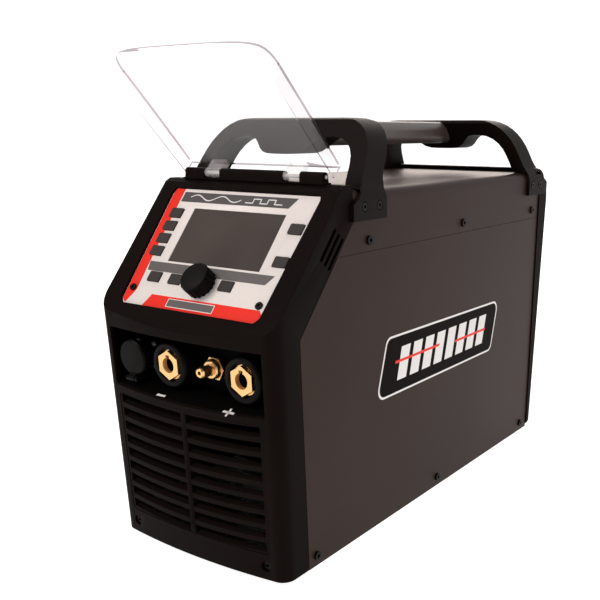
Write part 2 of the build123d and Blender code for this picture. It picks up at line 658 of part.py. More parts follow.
BAR = [(-9, 342.5), (9, 342.5), (13, 347), (13, 358), (8.5, 364.5), (-8.5, 364.5), (-13, 358), (-13, 347)]


def arch_side(mirror):
    if not mirror:
        return ARCH_SIDE
    return [(2 * MID - y, z) for (y, z) in ARCH_SIDE]


with BuildPart() as front_handle:
    with BuildSketch(front(170)):
        Polygon(*ARCH_OUT, align=None)
        Polygon(*ARCH_IN, align=None, mode=Mode.SUBTRACT)
    extrude(amount=120)
    with BuildSketch(side(-110)):
        Polygon(*arch_side(False), align=None)
    extrude(amount=220, mode=Mode.INTERSECT)
    with BuildSketch(front(170)):
        with Locations((0, 290.6)):
            Rectangle(200.4, 41.2)
    extrude(amount=120, mode=Mode.SUBTRACT)
    with BuildSketch(side(-100.3)):
        Polygon((50, 280), (73.5, 280), (73.5, BEZEL_TOP + 0.3), (50, BEZEL_TOP + 0.3), align=None)
    extrude(amount=200.6, mode=Mode.SUBTRACT)
    with BuildSketch(front(260)):
        Polygon(*BAR, align=None)
    extrude(amount=127, mode=Mode.SUBTRACT)
    for x in (-105, 102):
        with BuildSketch(side(x)):
            with Locations((84, 298), (105.5, 298)):
                Circle(4.2)
        extrude(amount=3, mode=Mode.SUBTRACT)
    with BuildSketch(side(-105)):
        with Locations((84, 298), (105.5, 298)):
            Circle(2.2)
    extrude(amount=210, mode=Mode.SUBTRACT)
front_handle.part.label = "front_handle"
export_step(front_handle.part, "parts/front_handle.step")

with BuildPart() as rear_handle:
    with BuildSketch(front(2 * MID - 50)):
        Polygon(*ARCH_OUT, align=None)
        Polygon(*ARCH_IN, align=None, mode=Mode.SUBTRACT)
    extrude(amount=120)
    with BuildSketch(side(-110)):
        Polygon(*arch_side(True), align=None)
    extrude(amount=220, mode=Mode.INTERSECT)
    with BuildSketch(front(2 * MID - 50)):
        with Locations((0, 290.6)):
            Rectangle(200.4, 41.2)
    extrude(amount=120, mode=Mode.SUBTRACT)
    with BuildSketch(side(-101.9)):
        Polygon((423.6, 280), (470, 280), (470, 316), (423.6, 316), align=None)
    extrude(amount=203.8, mode=Mode.SUBTRACT)
    with BuildSketch(front(2 * MID - 133)):
        Polygon(*BAR, align=None)
    extrude(amount=127, mode=Mode.SUBTRACT)
    for x in (-105, 102.4):
        with BuildSketch(side(x)):
            with Locations(*HANDLE_SCREWS[2:]):
                Circle(4.2)
        extrude(amount=2.6, mode=Mode.SUBTRACT)
    with BuildSketch(side(-105)):
        with Locations(*HANDLE_SCREWS[2:]):
            Circle(2.2)
    extrude(amount=210, mode=Mode.SUBTRACT)
rear_handle.part.label = "rear_handle"
export_step(rear_handle.part, "parts/rear_handle.step")

with BuildPart() as handle_bar:
    with BuildSketch(front(2 * MID - 133.2)):
        Polygon(*BAR, align=None)
    extrude(amount=2 * MID - 266.4)
handle_bar.part.label = "handle_bar"
export_step(handle_bar.part, "parts/handle_bar.step")

with BuildPart() as handle_screws:
    for (places, seat) in ((HANDLE_SCREWS[:2], 102.05), (HANDLE_SCREWS[2:], 102.45)):
        for (x0, xh) in ((98.8, seat), (-seat, -seat - 2.0)):
            with BuildSketch(side(x0)):
                with Locations(*places):
                    Circle(2.0)
            extrude(amount=seat - 98.8)
            with BuildSketch(side(xh)):
                with Locations(*places):
                    Circle(3.6)
                    RegularPolygon(1.5, 6, mode=Mode.SUBTRACT)
            extrude(amount=2.0)
handle_screws.part.label = "handle_screws"
export_step(handle_screws.part, "parts/handle_screws.step")

# ---------------------------------------------------------------- rear
with BuildPart() as rear_bezel:
    with BuildSketch(front(465)):
        with Locations((0, 157.75)):
            RectangleRounded(203, 315.5, 8)
            with Locations((0, -3.5)):
                RectangleRounded(182, 286, 5, mode=Mode.SUBTRACT)
    extrude(amount=50)
    with BuildSketch(side(-110)):
        Polygon((BODY_L, 0), (442.5, 0), (456.5, 279), (455.5, 289), (441, 314), (437, 315.5), (424, 315.5), (424, 311.2), (BODY_L, 311.2), align=None)
    extrude(amount=220, mode=Mode.INTERSECT)
    with BuildSketch(front(470)):
        with Locations((-95, 10), (95, 10), (-95, 303), (95, 303)):
            Circle(4.4)
    extrude(amount=28, mode=Mode.SUBTRACT)
    with BuildSketch(front(470)):
        with Locations((-95, 10), (95, 10), (-95, 303), (95, 303)):
            Circle(2.1)
    extrude(amount=40, mode=Mode.SUBTRACT)
rear_bezel.part.label = "rear_bezel"
export_step(rear_bezel.part, "parts/rear_bezel.step")

with BuildPart() as rear_panel:
    with BuildSketch(front(BODY_L - 0.2)):
        with Locations((0, 155.5)):
            RectangleRounded(196, 306, 5)
        with Locations((0, FAN_Z)):
            Circle(56, mode=Mode.SUBTRACT)
            with GridLocations(105, 105, 2, 2):
                Circle(2.2, mode=Mode.SUBTRACT)
        with Locations((48, 250)):
            Rectangle(27.6, 22.2, mode=Mode.SUBTRACT)
        with Locations((-48, 250)):
            Circle(10.2, mode=Mode.SUBTRACT)
        with Locations((0, 222)):
            Circle(5.2, mode=Mode.SUBTRACT)
        with Locations((-95, 10), (95, 10), (-95, 303), (95, 303)):
            Circle(2.1, mode=Mode.SUBTRACT)
        with Locations((-70, 36), (70, 36)):
            with GridLocations(0, 6, 1, 6):
                SlotOverall(26, 3, mode=Mode.SUBTRACT)
    extrude(amount=1.8)
rear_panel.part.label = "rear_panel"
export_step(rear_panel.part, "parts/rear_panel.step")

with BuildPart() as rear_screws:
    for (x, z) in ((-95, 10), (95, 10), (-95, 303), (95, 303)):
        with BuildSketch(front(443.9)):
            with Locations((x, z)):
                Circle(3.8)
                RegularPolygon(1.6, 6, mode=Mode.SUBTRACT)
        extrude(amount=1.85)
        with BuildSketch(front(442.1)):
            with Locations((x, z)):
                Circle(1.9)
        extrude(amount=10)
rear_screws.part.label = "rear_screws"
export_step(rear_screws.part, "parts/rear_screws.step")

with BuildPart() as fan_guard:
    for r in (8, 17, 26, 35, 44, 53):
        with BuildSketch(front(440.2)):
            with Locations((0, FAN_Z)):
                Circle(r + 0.9)
                Circle(r - 0.9, mode=Mode.SUBTRACT)
        extrude(amount=1.8)
    with BuildSketch(front(438.6)):
        with Locations((0, FAN_Z)):
            with PolarLocations(0, 2, start_angle=45, angular_range=180):
                Rectangle(150, 2.4)
    extrude(amount=1.8)
    with BuildSketch(front(438.6)):
        with Locations((0, FAN_Z)):
            with GridLocations(105, 105, 2, 2):
                Circle(4.4)
    extrude(amount=1.8)
    with BuildSketch(front(441)):
        with Locations((0, FAN_Z)):
            with GridLocations(105, 105, 2, 2):
                Circle(2.2)
    extrude(amount=8, mode=Mode.SUBTRACT)
fan_guard.part.label = "fan_guard"
export_step(fan_guard.part, "parts/fan_guard.step")

with BuildPart() as fan_screws:
    with BuildSketch(front(441.2)):
        with Locations((0, FAN_Z)):
            with GridLocations(105, 105, 2, 2):
                Circle(3.6)
                RegularPolygon(1.5, 6, mode=Mode.SUBTRACT)
    extrude(amount=2.5)
    with BuildSketch(front(438.7)):
        with Locations((0, FAN_Z)):
            with GridLocations(105, 105, 2, 2):
                Circle(1.9)
    extrude(amount=30)
fan_screws.part.label = "fan_screws"
export_step(fan_screws.part, "parts/fan_screws.step")

with BuildPart() as fan_frame:
    with BuildSketch(front(434.5)):
        with Locations((0, FAN_Z)):
            RectangleRounded(120, 120, 5)
            Circle(56.5, mode=Mode.SUBTRACT)
            with GridLocations(105, 105, 2, 2):
                Circle(2.2, mode=Mode.SUBTRACT)
    extrude(amount=25)
    with BuildSketch(front(412.5)):
        with Locations((0, FAN_Z)):
            Circle(18)
            with PolarLocations(38, 4, start_angle=20):
                Rectangle(42, 4)
    extrude(amount=3)
    with BuildSketch(front(431)):
        with Locations((0, FAN_Z)):
            Circle(3.0)
    extrude(amount=20)
fan_frame.part.label = "fan_frame"
export_step(fan_frame.part, "parts/fan_frame.step")

with BuildPart() as fan_rotor:
    with BuildSketch(front(432.4)):
        with Locations((0, FAN_Z)):
            Circle(19)
    extrude(amount=18.5)
    for k in range(7):
        a = 2 * pi * k / 7
        cb, sb = cos(radians(50)), sin(radians(50))
        blade = Plane(origin=(0, Y0 + 423.2, Z0 + FAN_Z), x_dir=(sin(a), 0, cos(a)),
                      z_dir=(-cos(a) * cb, sb, sin(a) * cb))
        with BuildSketch(blade.offset(-1.0)):
            with Locations((36.0, 0)):
                Rectangle(37.0, 19)
        extrude(amount=2.0)
    with BuildSketch(front(440)):
        with Locations((0, FAN_Z)):
            Circle(54.8)
    extrude(amount=40, mode=Mode.INTERSECT)
    with BuildSketch(front(431.05)):
        with Locations((0, FAN_Z)):
            Circle(3.07)
    extrude(amount=20, mode=Mode.SUBTRACT)
fan_rotor.part.label = "fan_rotor"
export_step(fan_rotor.part, "parts/fan_rotor.step")

with BuildPart() as switch_body:
    with BuildSketch(front(438.6)):
        with Locations((48, 250)):
            Rectangle(31, 25)
            Rectangle(22.4, 17.4, mode=Mode.SUBTRACT)
    extrude(amount=2.0)
    with BuildSketch(front(436.6)):
        with Locations((48, 250)):
            Rectangle(27.2, 21.8)
            Rectangle(22.4, 17.4, mode=Mode.SUBTRACT)
    extrude(amount=20)
    with BuildSketch(front(416.6)):
        with Locations((48, 250)):
            Rectangle(27.2, 21.8)
    extrude(amount=2)
    with BuildSketch(side(48 - 11.3)):
        with Locations((431.5, 250)):
            Circle(1.5)
    extrude(amount=22.6)
switch_body.part.label = "switch_body"
export_step(switch_body.part, "parts/switch_body.step")

with BuildPart() as switch_rocker:
    with BuildSketch(side(48 - 10.9)):
        Polygon((440.56, 256.06), (438.24, 241.44), (427.44, 243.56), (429.63, 257.38), align=None)
        with Locations((431.5, 250)):
            Circle(1.56, mode=Mode.SUBTRACT)
    extrude(amount=21.8)
switch_rocker.part.label = "switch_rocker"
export_step(switch_rocker.part, "parts/switch_rocker.step")

GL = (-48, 250)
with BuildPart() as cable_gland:
    with BuildSketch(front(442.4)):
        with Locations(GL):
            RegularPolygon(14.5, 6)
    extrude(amount=6)
    with BuildSketch(front(452)):
        with Locations(GL):
            Circle(12)
    extrude(amount=9.7)
    with BuildSketch(front(436.6)):
        with Locations(GL):
            Circle(10)
    extrude(amount=8)
    with BuildSketch(front(434.4)):
        with Locations(GL):
            RegularPolygon(14.5, 6)
    extrude(amount=5)
    with BuildSketch(front(456)):
        with Locations(GL):
            Circle(6.5)
    extrude(amount=40, mode=Mode.SUBTRACT)
cable_gland.part.label = "cable_gland"
export_step(cable_gland.part, "parts/cable_gland.step")

with BuildPart() as gas_inlet:
    with BuildSketch(Plane(origin=(0, Y0, Z0 + 222), x_dir=(1, 0, 0), z_dir=(0, 0, 1))):
        Polygon((1.8, 424), (5, 424), (5, 436.5), (7.5, 436.5), (7.5, 442), (4, 442), (4, 452), (3.2, 454), (1.8, 454), align=None)
    revolve(axis=Axis((0, Y0, Z0 + 222), (0, 1, 0)))
gas_inlet.part.label = "gas_inlet"
export_step(gas_inlet.part, "parts/gas_inlet.step")

# ---------------------------------------------------------------- fasteners and feet
with BuildPart() as body_screws:
    for (x0, xh) in ((95.2, 100.0), (-100.1, -102.0)):
        with BuildSketch(side(x0)):
            with Locations(*BODY_SCREWS):
                Circle(2.0)
        extrude(amount=4.9)
        with BuildSketch(side(xh)):
            with Locations(*BODY_SCREWS):
                Circle(4.0)
                RegularPolygon(1.7, 6, mode=Mode.SUBTRACT)
        extrude(amount=2.0)
body_screws.part.label = "body_screws"
export_step(body_screws.part, "parts/body_screws.step")

with BuildPart() as front_screws:
    with BuildSketch(front(-27)):
        with Locations((-79.5, 12.5), (79.5, 12.5)):
            Circle(4.0)
            RegularPolygon(1.7, 6, mode=Mode.SUBTRACT)
    extrude(amount=2.6)
    with BuildSketch(front(-14)):
        with Locations((-79.5, 12.5), (79.5, 12.5)):
            Circle(2.0)
    extrude(amount=13.1)
front_screws.part.label = "front_screws"
export_step(front_screws.part, "parts/front_screws.step")

with BuildPart() as feet:
    with BuildSketch(level(-4)):
        with Locations((-74, 30), (74, 30), (-74, 410), (74, 410)):
            Circle(9)
    extrude(amount=4.45, taper=-4)
feet.part.label = "feet"
export_step(feet.part, "parts/feet.step")

# ---------------------------------------------------------------- power unit inside
for name, x0 in (("heatsink_left", -86), ("heatsink_right", 26)):
    with BuildPart() as heatsink:
        with BuildSketch(front(330)):
            with Locations((x0 + 30, 44)):
                Rectangle(60, 5)
            for k in range(9):
                with Locations((x0 + 1.5 + k * 7.125, 62)):
                    Rectangle(2.4, 34)
        extrude(amount=180)
    heatsink.part.label = name
    export_step(heatsink.part, "parts/%s.step" % name)

with BuildPart() as transformer:
    with BuildSketch(level(2.1)):
        with Locations((0, 92)):
            Rectangle(74, 62)
    extrude(amount=52)
    with BuildSketch(level(10)):
        with Locations((0, 92)):
            RectangleRounded(52, 86, 10)
    extrude(amount=36)
transformer.part.label = "transformer"
export_step(transformer.part, "parts/transformer.step")

with BuildPart() as inverter_board:
    with BuildSketch(level(84)):
        with Locations((0, 240)):
            Rectangle(176, 190)
    extrude(amount=2)
    with BuildSketch(level(79.05)):
        with GridLocations(0, 0, 1, 1):
            with Locations((-56, 240), (56, 240)):
                Rectangle(40, 150)
    extrude(amount=4.95)
inverter_board.part.label = "inverter_board"
export_step(inverter_board.part, "parts/inverter_board.step")

with BuildPart() as capacitors:
    with BuildSketch(level(86.05)):
        with Locations((-55, 180), (0, 180), (55, 180), (-28, 225), (28, 225)):
            Circle(15)
    extrude(amount=46)
capacitors.part.label = "capacitors"
export_step(capacitors.part, "parts/capacitors.step")

with BuildPart() as solenoid_valve:
    with BuildSketch(level(150)):
        with Locations((0, 384)):
            Rectangle(26, 26)
    extrude(amount=40)
    with BuildSketch(level(196)):
        with Locations((0, 384)):
            Rectangle(34, 30)
    extrude(amount=52)
    with BuildSketch(level(190)):
        with Locations((0, 384)):
            Circle(9)
    extrude(amount=6)
    with BuildSketch(front(408)):
        with Locations((0, 222)):
            Circle(4.5)
    extrude(amount=16)
solenoid_valve.part.label = "solenoid_valve"
export_step(solenoid_valve.part, "parts/solenoid_valve.step")
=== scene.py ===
import bpy, bmesh, math, json
from math import sin, cos, radians, pi, sqrt
from mathutils import Vector, Matrix, noise

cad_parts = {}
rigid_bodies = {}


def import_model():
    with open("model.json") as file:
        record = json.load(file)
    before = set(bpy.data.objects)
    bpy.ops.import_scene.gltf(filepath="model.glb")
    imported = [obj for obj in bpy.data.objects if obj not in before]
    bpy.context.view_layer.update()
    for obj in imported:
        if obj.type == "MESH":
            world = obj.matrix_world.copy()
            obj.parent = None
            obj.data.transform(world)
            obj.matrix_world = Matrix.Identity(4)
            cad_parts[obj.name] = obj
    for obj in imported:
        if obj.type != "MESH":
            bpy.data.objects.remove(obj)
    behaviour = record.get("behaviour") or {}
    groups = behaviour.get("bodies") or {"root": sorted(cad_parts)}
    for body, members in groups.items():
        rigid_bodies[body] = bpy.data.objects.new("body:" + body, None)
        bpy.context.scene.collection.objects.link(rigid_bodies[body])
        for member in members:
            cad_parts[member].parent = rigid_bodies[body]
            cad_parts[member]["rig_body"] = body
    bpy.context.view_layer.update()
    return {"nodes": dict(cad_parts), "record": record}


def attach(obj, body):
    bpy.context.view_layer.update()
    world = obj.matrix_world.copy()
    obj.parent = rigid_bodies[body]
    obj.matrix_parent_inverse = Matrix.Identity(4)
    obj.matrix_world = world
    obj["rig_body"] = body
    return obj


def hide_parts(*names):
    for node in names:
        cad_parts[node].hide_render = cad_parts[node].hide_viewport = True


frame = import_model()
nodes = frame["nodes"]
link = bpy.context.scene.collection.objects.link

# ------------------------------------------------------------------ frame of the control face
Y0, Z0 = -210.1, 4.0
SL = radians(41.4)
S, C = sin(SL), cos(SL)
SLOPE_Z = 203.8


def P(x, y, z):
    return Vector((x / 1000, (Y0 + y) / 1000, (Z0 + z) / 1000))


def SP(x, v, d):
    return P(x, v * S - d * C, SLOPE_Z + v * C + d * S)


# ------------------------------------------------------------------ materials
def tree(name):
    m = bpy.data.materials.new(name)
    m.use_nodes = True
    nt = m.node_tree
    return m, nt, nt.nodes["Principled BSDF"]


def coords(nt, scale=(1, 1, 1)):
    tc = nt.nodes.new("ShaderNodeTexCoord")
    mp = nt.nodes.new("ShaderNodeMapping")
    mp.inputs["Scale"].default_value = scale
    nt.links.new(tc.outputs["Object"], mp.inputs["Vector"])
    return mp.outputs["Vector"]


def noise_tex(nt, vec, scale, detail=2.0, rough=0.5):
    n = nt.nodes.new("ShaderNodeTexNoise")
    n.inputs["Scale"].default_value = scale
    n.inputs["Detail"].default_value = detail
    n.inputs["Roughness"].default_value = rough
    nt.links.new(vec, n.inputs["Vector"])
    return n.outputs["Fac"]


def ramp(nt, fac, stops):
    r = nt.nodes.new("ShaderNodeValToRGB")
    r.color_ramp.elements[0].position = stops[0][0]
    r.color_ramp.elements[0].color = (*stops[0][1], 1)
    r.color_ramp.elements[1].position = stops[-1][0]
    r.color_ramp.elements[1].color = (*stops[-1][1], 1)
    for pos, col in stops[1:-1]:
        e = r.color_ramp.elements.new(pos)
        e.color = (*col, 1)
    nt.links.new(fac, r.inputs["Fac"])
    return r.outputs["Color"]


def bump(nt, fac, strength, dist, prev=None):
    b = nt.nodes.new("ShaderNodeBump")
    b.inputs["Strength"].default_value = strength
    b.inputs["Distance"].default_value = dist
    nt.links.new(fac, b.inputs["Height"])
    if prev is not None:
        nt.links.new(prev, b.inputs["Normal"])
    return b.outputs["Normal"]


def rough_range(nt, fac, lo, hi):
    m = nt.nodes.new("ShaderNodeMapRange")
    m.inputs["From Min"].default_value = 0.3
    m.inputs["From Max"].default_value = 0.7
    m.inputs["To Min"].default_value = lo
    m.inputs["To Max"].default_value = hi
    nt.links.new(fac, m.inputs["Value"])
    return m.outputs["Result"]


def speckled(name, base, vary, rough, grain, depth, metallic=0.0, spec=0.5, large=6.0, strength=0.5):
    """a moulded or coated surface: slow colour drift, fine grain in colour, gloss and height"""
    m, nt, b = tree(name)
    vec = coords(nt)
    slow = noise_tex(nt, vec, large, 3.0)
    fine = noise_tex(nt, vec, grain, 2.0, 0.6)
    lo = tuple(max(0, c * (1 - vary)) for c in base)
    hi = tuple(min(1, c * (1 + vary)) for c in base)
    mix = nt.nodes.new("ShaderNodeMix")
    mix.data_type = "RGBA"
    mix.blend_type = "MULTIPLY"
    mix.inputs["Factor"].default_value = 0.6
    nt.links.new(ramp(nt, slow, [(0.3, lo), (0.7, hi)]), mix.inputs["A"])
    nt.links.new(ramp(nt, fine, [(0.3, (0.72, 0.72, 0.72)), (0.7, (1, 1, 1))]), mix.inputs["B"])
    nt.links.new(mix.outputs["Result"], b.inputs["Base Color"])
    nt.links.new(rough_range(nt, fine, rough - 0.07, rough + 0.07), b.inputs["Roughness"])
    b.inputs["Metallic"].default_value = metallic
    b.inputs["Specular IOR Level"].default_value = spec
    nt.links.new(bump(nt, fine, strength, depth), b.inputs["Normal"])
    return m


MAT = {}
MAT["body_paint"] = speckled("body_paint", (0.0265, 0.013, 0.0092), 0.16, 0.42, 1500, 0.00025, spec=0.1, large=5, strength=0.5)
MAT["bezel_plastic"] = speckled("bezel_plastic", (0.0052, 0.0026, 0.0019), 0.12, 0.55, 2300, 0.00012, spec=0.03, large=9, strength=0.35)
MAT["handle_plastic"] = speckled("handle_plastic", (0.007, 0.0038, 0.0028), 0.14, 0.5, 1900, 0.00015, spec=0.05, large=11, strength=0.35)
# the grip is much lighter brown-grey than the handle: partly its own colour, partly a painted highlight for the light
# its top catches
MAT["grip_plastic_and_painted_highlight"] = speckled("grip_plastic_and_painted_highlight", (0.075, 0.054, 0.048), 0.12, 0.36, 1900, 0.00015, spec=0.5, large=11, strength=0.35)
MAT["recess_plastic"] = speckled("recess_plastic", (0.0012, 0.0009, 0.0008), 0.1, 0.6, 2300, 0.0001, spec=0.02, large=12, strength=0.3)
MAT["insulator_black"] = speckled("insulator_black", (0.0022, 0.0015, 0.0014), 0.1, 0.42, 1800, 0.00006, spec=0.05, large=20, strength=0.25)
MAT["knob_black"] = speckled("knob_black", (0.0026, 0.0018, 0.0017), 0.12, 0.45, 1600, 0.00008, spec=0.07, large=20, strength=0.3)
MAT["key_grey"] = speckled("key_grey", (0.042, 0.035, 0.034), 0.08, 0.5, 1800, 0.00006, spec=0.12, large=30, strength=0.3)
MAT["panel_print"] = speckled("panel_print", (0.8, 0.735, 0.705), 0.03, 0.34, 2600, 0.00003, spec=0.2, large=12, strength=0.2)
MAT["print_red"] = speckled("print_red", (0.86, 0.03, 0.018), 0.05, 0.34, 2600, 0.00003, spec=0.12, large=14, strength=0.2)
MAT["print_grey"] = speckled("print_grey", (0.085, 0.078, 0.078), 0.05, 0.36, 2600, 0.00003, spec=0.2, large=14, strength=0.2)
MAT["print_mid"] = speckled("print_mid", (0.125, 0.112, 0.110), 0.05, 0.36, 2600, 0.00003, spec=0.2, large=14, strength=0.2)
MAT["print_white"] = speckled("print_white", (0.8, 0.76, 0.745), 0.03, 0.45, 2200, 0.00003, spec=0.3, large=14, strength=0.2)
MAT["rubber_black"] = speckled("rubber_black", (0.018, 0.018, 0.018), 0.1, 0.7, 1200, 0.0002, spec=0.3, large=20)
MAT["board_green"] = speckled("board_green", (0.02, 0.10, 0.04), 0.2, 0.4, 600, 0.0001, large=40)
MAT["fan_black"] = speckled("fan_black", (0.008, 0.008, 0.008), 0.1, 0.4, 1400, 0.0001, large=20, spec=0.2)
MAT["switch_red"] = speckled("switch_red", (0.42, 0.015, 0.012), 0.06, 0.25, 1400, 0.00004, large=30)
MAT["can_black"] = speckled("can_black", (0.02, 0.022, 0.032), 0.1, 0.3, 900, 0.0001, large=30)
MAT["core_grey"] = speckled("core_grey", (0.05, 0.05, 0.052), 0.2, 0.6, 700, 0.0004, large=25)
MAT["screw_black"] = speckled("screw_black", (0.003, 0.0022, 0.002), 0.2, 0.42, 1500, 0.00006, spec=0.1, large=60)


def metal(name, base, rough, grain=(60, 60, 900), depth=0.00004):
    m, nt, b = tree(name)
    vec = coords(nt, grain)
    n1 = noise_tex(nt, vec, 1.0, 3.0)
    vec2 = coords(nt)
    n2 = noise_tex(nt, vec2, 60.0, 4.0)
    lo = tuple(c * 0.82 for c in base)
    nt.links.new(ramp(nt, n2, [(0.3, lo), (0.7, base)]), b.inputs["Base Color"])
    b.inputs["Metallic"].default_value = 1.0
    nt.links.new(rough_range(nt, n2, rough - 0.06, rough + 0.10), b.inputs["Roughness"])
    nt.links.new(bump(nt, n1, 0.3, depth), b.inputs["Normal"])
    return m


MAT["brass"] = metal("brass", (0.80, 0.50, 0.22), 0.28)
# painted shade: a darker, warmer brass for the inside of the bores, standing in for shade and warm reflections there
MAT["brass_bore_painted_shade"] = metal("brass_bore_painted_shade", (0.66, 0.31, 0.09), 0.50)
MAT["brass_bore_painted_shade"].node_tree.nodes["Principled BSDF"].inputs["Metallic"].default_value = 0.35
MAT["zinc_steel"] = metal("zinc_steel", (0.66, 0.66, 0.64), 0.34)
MAT["aluminium"] = metal("aluminium", (0.80, 0.80, 0.81), 0.36, (900, 60, 900))

# display window: dark glossy window with a soft smear of slow colour drift
m, nt, b = tree("lens_dark")
vec = coords(nt)
n = noise_tex(nt, vec, 16.0, 3.0)
nt.links.new(ramp(nt, n, [(0.3, (0.052, 0.041, 0.037)), (0.7, (0.066, 0.051, 0.046))]), b.inputs["Base Color"])
nt.links.new(rough_range(nt, n, 0.10, 0.2), b.inputs["Roughness"])
b.inputs["Coat Weight"].default_value = 0.15
b.inputs["Coat Roughness"].default_value = 0.05
MAT["lens_dark"] = m
MAT["display_glass"] = speckled("display_glass", (0.03, 0.032, 0.033), 0.1, 0.3, 900, 0.00002, large=30)

# clear moulding
def clear(name, col, alpha, rough):
    m, nt, b = tree(name)
    vec = coords(nt)
    n = noise_tex(nt, vec, 22.0, 3.0)
    lo = tuple(c * 0.94 for c in col)
    nt.links.new(ramp(nt, n, [(0.3, lo), (0.7, col)]), b.inputs["Base Color"])
    nt.links.new(rough_range(nt, n, rough, rough + 0.06), b.inputs["Roughness"])
    b.inputs["Alpha"].default_value = alpha
    b.inputs["Specular IOR Level"].default_value = 0.5
    return m


MAT["clear_clip"] = clear("clear_clip", (0.80, 0.76, 0.76), 0.24, 0.1)


def tinted(name, lo, hi):
    """light passes straight through and takes the tint"""
    m, nt, b = tree(name)
    vec = coords(nt)
    n = noise_tex(nt, vec, 30.0, 2.0)
    nt.links.new(ramp(nt, n, [(0.3, lo), (0.7, hi)]), b.inputs["Base Color"])
    b.inputs["Roughness"].default_value = 0.0
    b.inputs["Transmission Weight"].default_value = 1.0
    b.inputs["IOR"].default_value = 1.015
    return m


# painted shade: the darker tint of the cover's thin edge faces stands in for the light the edges bend away
MAT["clear_rim_painted_shade"] = tinted("clear_rim_painted_shade", (0.20, 0.155, 0.17), (0.32, 0.26, 0.28))
# painted shade: the darker tint of the strips along the cover's bent edges is the shade line that light bent in the
# flanks makes
MAT["clear_edge_painted_shade"] = tinted("clear_edge_painted_shade", (0.44, 0.36, 0.39), (0.62, 0.54, 0.57))
# painted shade: a faint tint on the cover's flank faces for the light they refract
MAT["clear_flank_painted_shade"] = tinted("clear_flank_painted_shade", (0.90, 0.87, 0.88), (0.95, 0.93, 0.94))
# painted reflection: the near-white tint at low alpha lays a faint haze over what is seen through the sheet, standing
# in for its reflections
m = clear("clear_plastic", (0.90, 0.885, 0.885), 0.085, 0.03)
MAT["clear_plastic"] = m


# ------------------------------------------------------------------ mesh helpers
def new_object(name, me, material, body):
    ob = bpy.data.objects.new(name, me)
    link(ob)
    me.materials.clear()
    me.materials.append(material)
    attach(ob, body)
    return ob


def smooth(me, angle=32):
    me.shade_smooth()
    me.set_sharp_from_angle(angle=radians(angle))


SLOT_OF = {s["node"]: s["material_slot"] for s in frame["record"]["subparts"]}


def soften(node, width, seg=3, angle=25, material=None, dissolve=0.6):
    """the CAD node with its hard edges eased"""
    src = nodes[node]
    me = src.data.copy()
    bm = bmesh.new()
    bm.from_mesh(me)
    bmesh.ops.remove_doubles(bm, verts=bm.verts, dist=2e-6)
    bmesh.ops.dissolve_limit(bm, angle_limit=radians(dissolve), verts=bm.verts, edges=bm.edges)
    bm.to_mesh(me)
    bm.free()
    slot = SLOT_OF[node]
    ob = new_object(node + "_eased", me, material or MAT[slot], src["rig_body"])
    smooth(me)
    bv = ob.modifiers.new("ease", "BEVEL")
    bv.width = width / 1000
    bv.segments = seg
    bv.limit_method = "ANGLE"
    bv.angle_limit = radians(angle)
    bv.use_clamp_overlap = True
    bv.harden_normals = True
    bv.miter_outer = "MITER_ARC"
    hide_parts(node)
    return ob


def prism(name, pts3_a, pts3_b, material, body, ease=0.0):
    """a closed prism between two rings of points"""
    bm = bmesh.new()
    va = [bm.verts.new(p) for p in pts3_a]
    vb = [bm.verts.new(p) for p in pts3_b]
    n = len(va)
    bm.faces.new(va)
    bm.faces.new(list(reversed(vb)))
    for i in range(n):
        j = (i + 1) % n
        bm.faces.new((va[j], va[i], vb[i], vb[j]))
    bmesh.ops.recalc_face_normals(bm, faces=bm.faces)
    me = bpy.data.meshes.new(name)
    bm.to_mesh(me)
    bm.free()
    ob = new_object(name, me, material, body)
    if ease:
        bv = ob.modifiers.new("ease", "BEVEL")
        bv.width = ease / 1000
        bv.segments = 2
        bv.limit_method = "ANGLE"
    return ob


def decal(name, pts, d0, d1, material, ease=0.0):
    return prism(name, [SP(x, v, d0) for x, v in pts], [SP(x, v, d1) for x, v in pts], material, "machine", ease)


# ------------------------------------------------------------------ CAD nodes
EASE = {
    "front_bezel": (1.1, 3), "front_grille": (0.7, 2), "connector_panel": (0.6, 2),
    "front_handle": (4.2, 5), "rear_handle": (4.2, 5), "handle_bar": (3.2, 4), "rear_bezel": (1.6, 3),
    "top_cover": (0.35, 2), "side_panel_left": (0.35, 2), "side_panel_right": (0.35, 2), "rear_panel": (0.3, 2),
    "dinse_neg_insulator": (0.5, 2), "dinse_pos_insulator": (0.5, 2), "dinse_neg_contact": (0.7, 3), "dinse_pos_contact": (0.7, 3),
    "gas_outlet": (0.4, 2), "control_socket": (0.4, 2), "control_socket_cap": (0.6, 3), "control_knob": (0.5, 2),
    "clear_cover": (0.5, 2), "cover_hinge_bracket": (0.5, 2), "cable_gland": (0.6, 2), "gas_inlet": (0.4, 2),
    "switch_body": (0.5, 2), "switch_rocker": (0.6, 3), "feet": (0.6, 2), "fan_frame": (0.6, 2), "fan_guard": (0.5, 2),
    "body_screws": (0.5, 3), "front_screws": (0.5, 3), "handle_screws": (0.5, 3), "rear_screws": (0.5, 3), "panel_screws": (0.5, 3),
    "control_socket_screws": (0.3, 2), "fan_screws": (0.4, 2), "lcd_lens": (0.25, 2), "control_plate": (0.2, 2),
}
for i in range(9):
    EASE["key_%d" % (i + 1)] = (0.35, 2)
eased = {}
# the handle bar takes the lighter grip colour, which is partly a painted highlight on its top
for node, (w, seg) in EASE.items():
    eased[node] = soften(node, w, seg, material=MAT["grip_plastic_and_painted_highlight"] if node == "handle_bar" else None)
